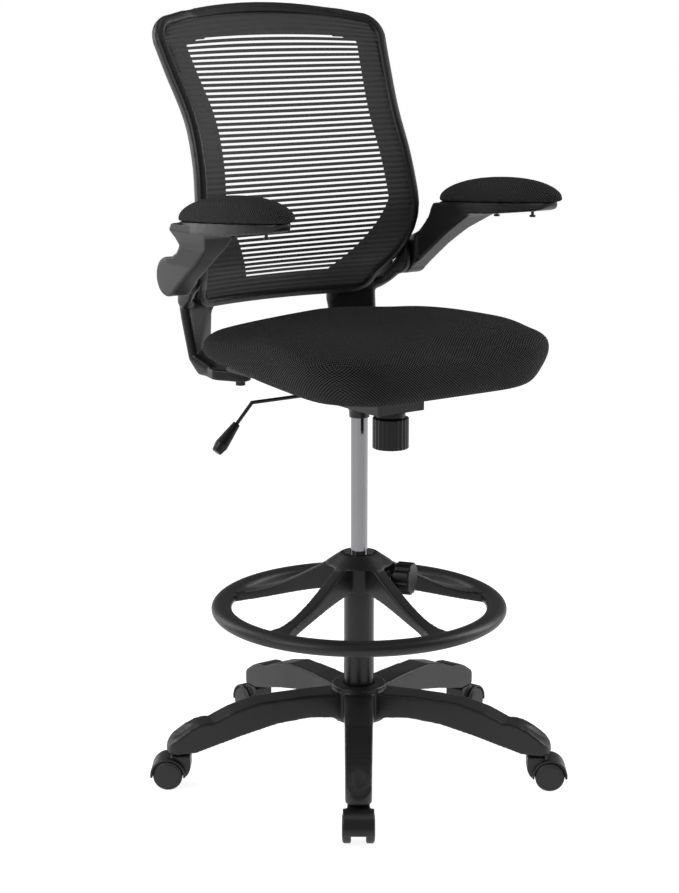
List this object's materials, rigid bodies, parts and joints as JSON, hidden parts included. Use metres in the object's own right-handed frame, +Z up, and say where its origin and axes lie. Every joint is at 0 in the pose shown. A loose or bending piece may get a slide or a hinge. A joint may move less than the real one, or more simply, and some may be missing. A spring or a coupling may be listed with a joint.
{
  "type": "drafting chair",
  "caption": "Height-adjustable drafting chair with mesh back, padded tilting seat, flip-up arms, foot ring and a five-caster base.",
  "frame": {"origin": "on the floor, on the axis of the column", "axes": "+Z up along the column; the sitter faces -Y; +X is the sitter's left"},
  "size_m": [0.6923, 0.6584, 1.257],
  "materials": {
    "nylon_base": "moulded glass-filled nylon, fine grain, satin",
    "column_black": "satin black painted steel tube",
    "gloss_black": "polished black plastic",
    "chrome_tube": "dark bright-finished steel",
    "steel_plain": "plain turned steel",
    "painted_black": "black powder coat",
    "caster_plastic": "satin moulded nylon",
    "wheel_plastic": "hard nylon tread",
    "arm_plastic": "moulded plastic, fine grain",
    "pan_plastic": "black moulded pan",
    "seat_fabric": "charcoal-black spacer mesh with open hexagonal cells",
    "pad_fabric": "charcoal-black spacer mesh",
    "back_fabric": "stretched mesh of horizontal slats with solid ribbed borders"
  },
  "bodies": {
    "base": {"base_star": "nylon_base", "outer_column": "column_black", "column_bushing": "gloss_black", "thrust_bearing": "steel_plain", "caster_1_stem": "steel_plain", "caster_2_stem": "steel_plain", "caster_3_stem": "steel_plain", "caster_4_stem": "steel_plain", "caster_5_stem": "steel_plain"},
    "piston_rod_assembly": {"piston_rod": "steel_plain", "piston": "steel_plain", "rod_clip": "steel_plain"},
    "lift": {"gas_cylinder": "chrome_tube", "taper_socket": "painted_black", "mechanism_housing": "painted_black", "tilt_axle": "steel_plain", "tilt_spring": "steel_plain"},
    "release_pin": {"release_pin": "steel_plain"},
    "tension_knob": {"tension_knob": "arm_plastic", "tension_bolt": "steel_plain"},
    "lever_bush": {"lever_bush": "pan_plastic"},
    "lever": {"lever_wire": "painted_black", "lever_grip": "arm_plastic"},
    "seat": {"seat_plate": "painted_black", "seat_board": "pan_plastic", "seat_bolts": "steel_plain", "seat_cushion": "seat_fabric", "bracket_right": "arm_plastic", "bracket_left": "arm_plastic", "bracket_bolts": "painted_black", "back_frame": "arm_plastic", "back_mesh": "back_fabric", "back_screws": "steel_plain", "arm_right_pin": "steel_plain", "arm_left_pin": "steel_plain"},
    "arm_right": {"arm_right_support": "arm_plastic", "arm_right_pad": "pad_fabric", "arm_right_screws": "steel_plain"},
    "arm_left": {"arm_left_support": "arm_plastic", "arm_left_pad": "pad_fabric", "arm_left_screws": "steel_plain"},
    "ring_slider": {"ring_bushing": "arm_plastic"},
    "foot_ring": {"foot_ring": "nylon_base"},
    "ring_knob": {"ring_knob": "arm_plastic", "ring_screw": "steel_plain"},
    "caster_1": {"caster_1_hood": "caster_plastic", "caster_1_axle": "steel_plain"},
    "caster_1_wheels": {"caster_1_wheels": "wheel_plastic"},
    "caster_2": {"caster_2_hood": "caster_plastic", "caster_2_axle": "steel_plain"},
    "caster_2_wheels": {"caster_2_wheels": "wheel_plastic"},
    "caster_3": {"caster_3_hood": "caster_plastic", "caster_3_axle": "steel_plain"},
    "caster_3_wheels": {"caster_3_wheels": "wheel_plastic"},
    "caster_4": {"caster_4_hood": "caster_plastic", "caster_4_axle": "steel_plain"},
    "caster_4_wheels": {"caster_4_wheels": "wheel_plastic"},
    "caster_5": {"caster_5_hood": "caster_plastic", "caster_5_axle": "steel_plain"},
    "caster_5_wheels": {"caster_5_wheels": "wheel_plastic"}
  },
  "joints": [
    {"name": "seat_swivel", "type": "hinge", "parent": "base", "child": "piston_rod_assembly", "pos_m": [0, 0, 0.1], "axis": [0, 0, 1], "continuous": true},
    {"name": "seat_height", "type": "slide", "parent": "piston_rod_assembly", "child": "lift", "axis": [0, 0, 1], "range_m": [-0.19, 0]},
    {"name": "lever_lift", "type": "hinge", "parent": "lift", "child": "lever_bush", "pos_m": [-0.0445, 0, 0.6475], "axis": [0, 1, 0], "range_deg": [0, 5], "stiffness_Nm_per_rad": 1.5, "springref_deg": -34.38},
    {"name": "lever_pull", "type": "slide", "parent": "lever_bush", "child": "lever", "axis": [-1, 0, 0], "range_m": [0, 0.012]},
    {"name": "release_pin_press", "type": "slide", "parent": "lift", "child": "release_pin", "axis": [0, 0, -1], "range_m": [0, 0.004]},
    {"name": "tension_adjust", "type": "hinge", "parent": "lift", "child": "tension_knob", "pos_m": [0, -0.085, 0.594], "axis": [0, 0, 1], "range_deg": [-1080, 1080]},
    {"name": "seat_tilt", "type": "hinge", "parent": "lift", "child": "seat", "pos_m": [0, -0.036, 0.654], "axis": [-1, 0, 0], "range_deg": [0, 12], "stiffness_Nm_per_rad": 70, "springref_deg": -25.78, "deforming": ["tilt_spring"]},
    {"name": "arm_right_flip", "type": "hinge", "parent": "seat", "child": "arm_right", "pos_m": [-0.236, 0.178, 0.829], "axis": [-1, 0, 0], "range_deg": [0, 90]},
    {"name": "arm_left_flip", "type": "hinge", "parent": "seat", "child": "arm_left", "pos_m": [0.236, 0.178, 0.829], "axis": [-1, 0, 0], "range_deg": [0, 90]},
    {"name": "ring_height", "type": "slide", "parent": "base", "child": "ring_slider", "axis": [0, 0, 1], "range_m": [-0.12, 0]},
    {"name": "ring_turn", "type": "hinge", "parent": "ring_slider", "child": "foot_ring", "pos_m": [0, 0, 0.3], "axis": [0, 0, 1], "continuous": true},
    {"name": "ring_clamp", "type": "hinge", "parent": "foot_ring", "child": "ring_knob", "pos_m": [0.04702, -0.06472, 0.334], "axis": [0.5878, -0.809, 0], "range_deg": [-720, 0]},
    {"name": "caster_1_swivel", "type": "hinge", "parent": "base", "child": "caster_1", "pos_m": [0.29292, 0.09518, 0.055], "axis": [0, 0, 1], "continuous": true},
    {"name": "caster_1_roll", "type": "hinge", "parent": "caster_1", "child": "caster_1_wheels", "pos_m": [0.311, 0.10105, 0.024], "axis": [-0.309, 0.9511, 0], "continuous": true},
    {"name": "caster_2_swivel", "type": "hinge", "parent": "base", "child": "caster_2", "pos_m": [0, 0.308, 0.055], "axis": [0, 0, 1], "continuous": true},
    {"name": "caster_2_roll", "type": "hinge", "parent": "caster_2", "child": "caster_2_wheels", "pos_m": [0, 0.327, 0.024], "axis": [-1, 0, 0], "continuous": true},
    {"name": "caster_3_swivel", "type": "hinge", "parent": "base", "child": "caster_3", "pos_m": [-0.29292, 0.09518, 0.055], "axis": [0, 0, 1], "continuous": true},
    {"name": "caster_3_roll", "type": "hinge", "parent": "caster_3", "child": "caster_3_wheels", "pos_m": [-0.3083, 0.10634, 0.024], "axis": [-0.5878, -0.809, 0], "continuous": true},
    {"name": "caster_4_swivel", "type": "hinge", "parent": "base", "child": "caster_4", "pos_m": [-0.18104, -0.24918, 0.055], "axis": [0, 0, 1], "continuous": true},
    {"name": "caster_4_roll", "type": "hinge", "parent": "caster_4", "child": "caster_4_wheels", "pos_m": [-0.19221, -0.26455, 0.024], "axis": [0.809, -0.5878, 0], "continuous": true},
    {"name": "caster_5_swivel", "type": "hinge", "parent": "base", "child": "caster_5", "pos_m": [0.18104, -0.24918, 0.055], "axis": [0, 0, 1], "continuous": true},
    {"name": "caster_5_roll", "type": "hinge", "parent": "caster_5", "child": "caster_5_wheels", "pos_m": [0.19641, -0.26034, 0.024], "axis": [0.5878, 0.809, 0], "continuous": true}
  ],
  "couplings": [
    {"joint": "release_pin_press", "follows": "lever_lift", "m_per_rad": 0.0445}
  ]
}
